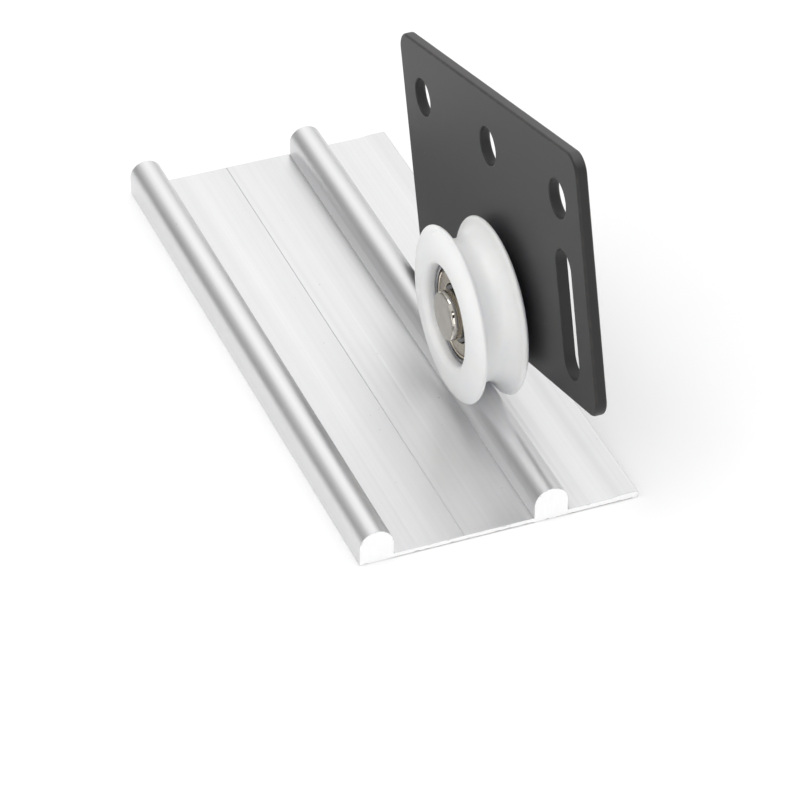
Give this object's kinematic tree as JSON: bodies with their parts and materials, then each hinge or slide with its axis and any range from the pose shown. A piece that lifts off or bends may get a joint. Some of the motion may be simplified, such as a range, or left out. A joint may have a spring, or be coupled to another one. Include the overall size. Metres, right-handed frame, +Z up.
{
  "type": "sliding door roller",
  "caption": "Grooved nylon wheel on a ball bearing, riveted to a black steel door bracket plate, standing on a short twin-rib aluminium floor track.",
  "frame": {"origin": "point on the track's resting plane, directly under the wheel's axle, on the centreline of the rib that the wheel runs on", "axes": "+X along the track, +Y from the wheel towards the bracket plate and the door, +Z up"},
  "size_m": [0.1441, 0.06, 0.078],
  "materials": {
    "aluminium": "satin anodised extrusion",
    "black_plate": "satin black powder coat",
    "white_nylon": "smooth moulded nylon",
    "rivet": "nickel plated",
    "bearing_steel": "ground and polished",
    "shield": "pressed sheet, satin",
    "snap_wire": "bright drawn wire",
    "zinc": "zinc plated"
  },
  "bodies": {
    "track": {"track_rail": "aluminium"},
    "axle": {"axle_rivet": "rivet", "spacer_bush": "zinc", "bearing_inner_ring": "bearing_steel"},
    "bracket": {"mounting_plate": "black_plate"},
    "wheel": {"wheel_tyre": "white_nylon", "bearing_outer_ring": "bearing_steel", "front_shield": "shield", "rear_shield": "shield", "front_snap_ring": "snap_wire", "rear_snap_ring": "snap_wire"},
    "cage": {"cage_front": "zinc", "cage_rear": "zinc"},
    "ball_1": {"ball_1": "bearing_steel"},
    "ball_2": {"ball_2": "bearing_steel"},
    "ball_3": {"ball_3": "bearing_steel"},
    "ball_4": {"ball_4": "bearing_steel"},
    "ball_5": {"ball_5": "bearing_steel"},
    "ball_6": {"ball_6": "bearing_steel"},
    "ball_7": {"ball_7": "bearing_steel"}
  },
  "joints": [
    {"name": "travel", "type": "slide", "parent": "track", "child": "axle", "axis": [1, 0, 0], "range_m": [-0.084, 0.03]},
    {"name": "bracket_tilt", "type": "hinge", "parent": "axle", "child": "bracket", "pos_m": [0, 0, 0.0226], "axis": [0, 1, 0], "range_deg": [0, 30.6]},
    {"name": "wheel_spin", "type": "hinge", "parent": "axle", "child": "wheel", "pos_m": [0, 0, 0.0226], "axis": [0, 1, 0], "continuous": true},
    {"name": "cage_spin", "type": "hinge", "parent": "axle", "child": "cage", "pos_m": [0, 0, 0.0226], "axis": [0, 1, 0], "continuous": true},
    {"name": "ball_1_spin", "type": "hinge", "parent": "cage", "child": "ball_1", "pos_m": [0, 0, 0.0301], "axis": [0, 1, 0], "continuous": true},
    {"name": "ball_2_spin", "type": "hinge", "parent": "cage", "child": "ball_2", "pos_m": [0.00586, 0, 0.02728], "axis": [0, 1, 0], "continuous": true},
    {"name": "ball_3_spin", "type": "hinge", "parent": "cage", "child": "ball_3", "pos_m": [0.00731, 0, 0.02093], "axis": [0, 1, 0], "continuous": true},
    {"name": "ball_4_spin", "type": "hinge", "parent": "cage", "child": "ball_4", "pos_m": [0.00325, 0, 0.01584], "axis": [0, 1, 0], "continuous": true},
    {"name": "ball_5_spin", "type": "hinge", "parent": "cage", "child": "ball_5", "pos_m": [-0.00325, 0, 0.01584], "axis": [0, 1, 0], "continuous": true},
    {"name": "ball_6_spin", "type": "hinge", "parent": "cage", "child": "ball_6", "pos_m": [-0.00731, 0, 0.02093], "axis": [0, 1, 0], "continuous": true},
    {"name": "ball_7_spin", "type": "hinge", "parent": "cage", "child": "ball_7", "pos_m": [-0.00586, 0, 0.02728], "axis": [0, 1, 0], "continuous": true}
  ],
  "couplings": [
    {"joint": "wheel_spin", "follows": "travel", "rad_per_m": 66.667},
    {"joint": "cage_spin", "follows": "travel", "rad_per_m": 42.151},
    {"joint": "ball_1_spin", "follows": "travel", "rad_per_m": 117.19},
    {"joint": "ball_2_spin", "follows": "travel", "rad_per_m": 117.19},
    {"joint": "ball_3_spin", "follows": "travel", "rad_per_m": 117.19},
    {"joint": "ball_4_spin", "follows": "travel", "rad_per_m": 117.19},
    {"joint": "ball_5_spin", "follows": "travel", "rad_per_m": 117.19},
    {"joint": "ball_6_spin", "follows": "travel", "rad_per_m": 117.19},
    {"joint": "ball_7_spin", "follows": "travel", "rad_per_m": 117.19}
  ]
}
